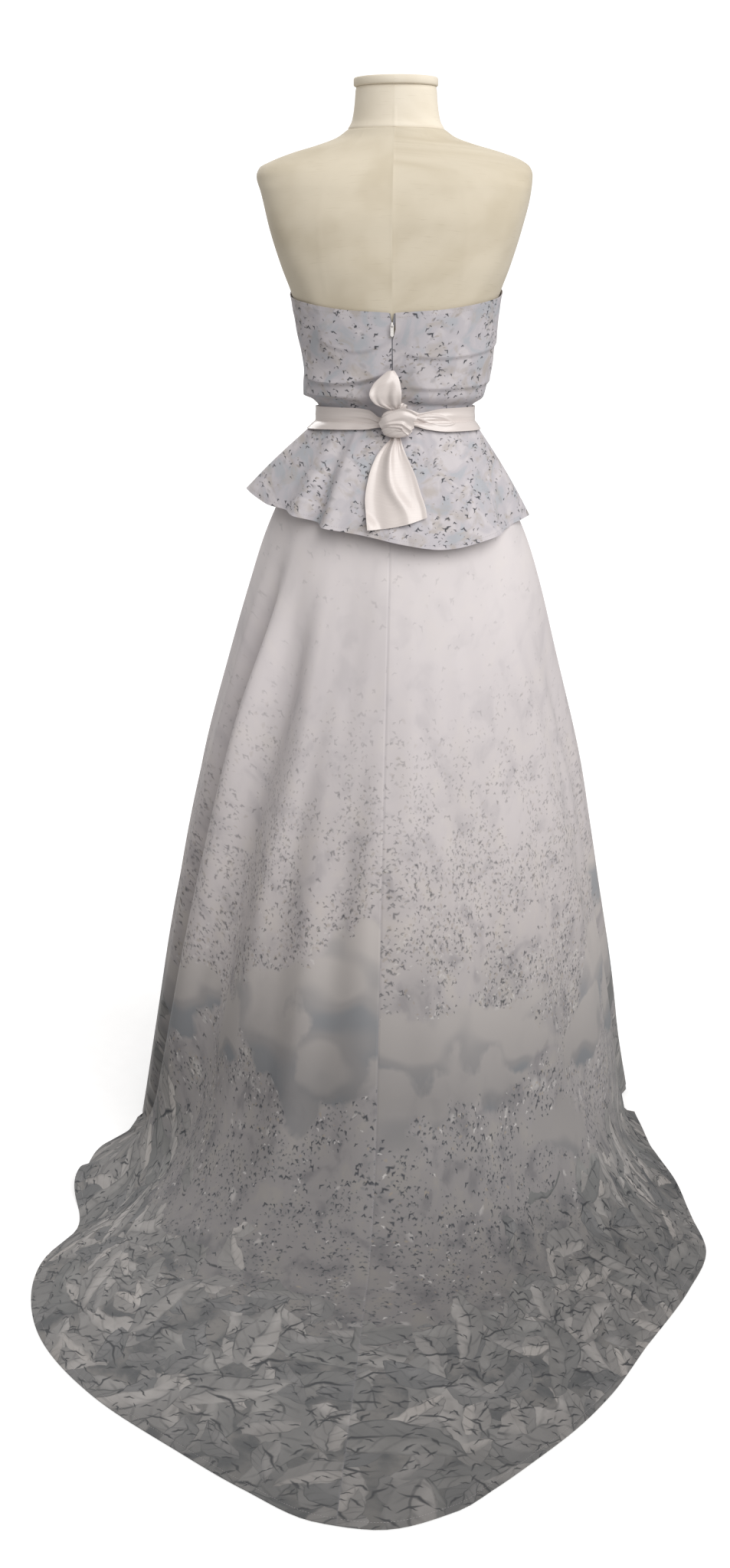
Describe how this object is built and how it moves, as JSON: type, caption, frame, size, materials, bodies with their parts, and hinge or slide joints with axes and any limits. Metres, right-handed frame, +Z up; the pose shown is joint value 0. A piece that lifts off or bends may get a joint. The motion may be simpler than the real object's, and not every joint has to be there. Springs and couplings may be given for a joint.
{
  "type": "strapless dress on a dress form",
  "caption": "Strapless gown with a draped bodice, tied sash, fluted peplum, zipped back and a long train, standing on a limbless dress form.",
  "frame": {"origin": "on the floor, under the middle of the form's stand", "axes": "+Z up; the wearer's front faces -Y, the train runs out along +Y and the wearer's left is +X"},
  "size_m": [0.9124, 1.6016, 1.615],
  "materials": {
    "printed_cloth": "matt printed cloth, grey-lilac ground with small dark birds",
    "skirt_cloth": "matt printed cloth, near white at the waist and dark grey at the hem",
    "satin": "glossy ivory satin",
    "zip_nylon": "moulded coil",
    "zip_metal": "off-white enamel",
    "form_cover": "matt cream calico",
    "stand_steel": "satin tube",
    "stand_iron": "black paint"
  },
  "bodies": {
    "dress": {"bodice_front": "printed_cloth", "bodice_back_left": "printed_cloth", "bodice_back_right": "printed_cloth", "peplum_front": "printed_cloth", "peplum_back_left": "printed_cloth", "peplum_back_right": "printed_cloth", "skirt_front": "skirt_cloth", "skirt_back_left": "skirt_cloth", "skirt_back_right": "skirt_cloth", "sash_band": "satin", "sash_knot": "satin", "sash_loop": "satin", "sash_tail": "satin", "zip_coil": "zip_nylon", "zip_slider": "zip_metal", "form_torso": "form_cover", "form_neck": "form_cover", "form_cap": "form_cover", "stand_pole": "stand_steel", "stand_foot": "stand_iron"},
    "pull": {"zip_pull": "zip_metal"}
  },
  "joints": [
    {"name": "pull_swing", "type": "hinge", "parent": "dress", "child": "pull", "pos_m": [0, 0.10693, 1.25079], "axis": [1, 0, 0], "range_deg": [0, 150]}
  ]
}
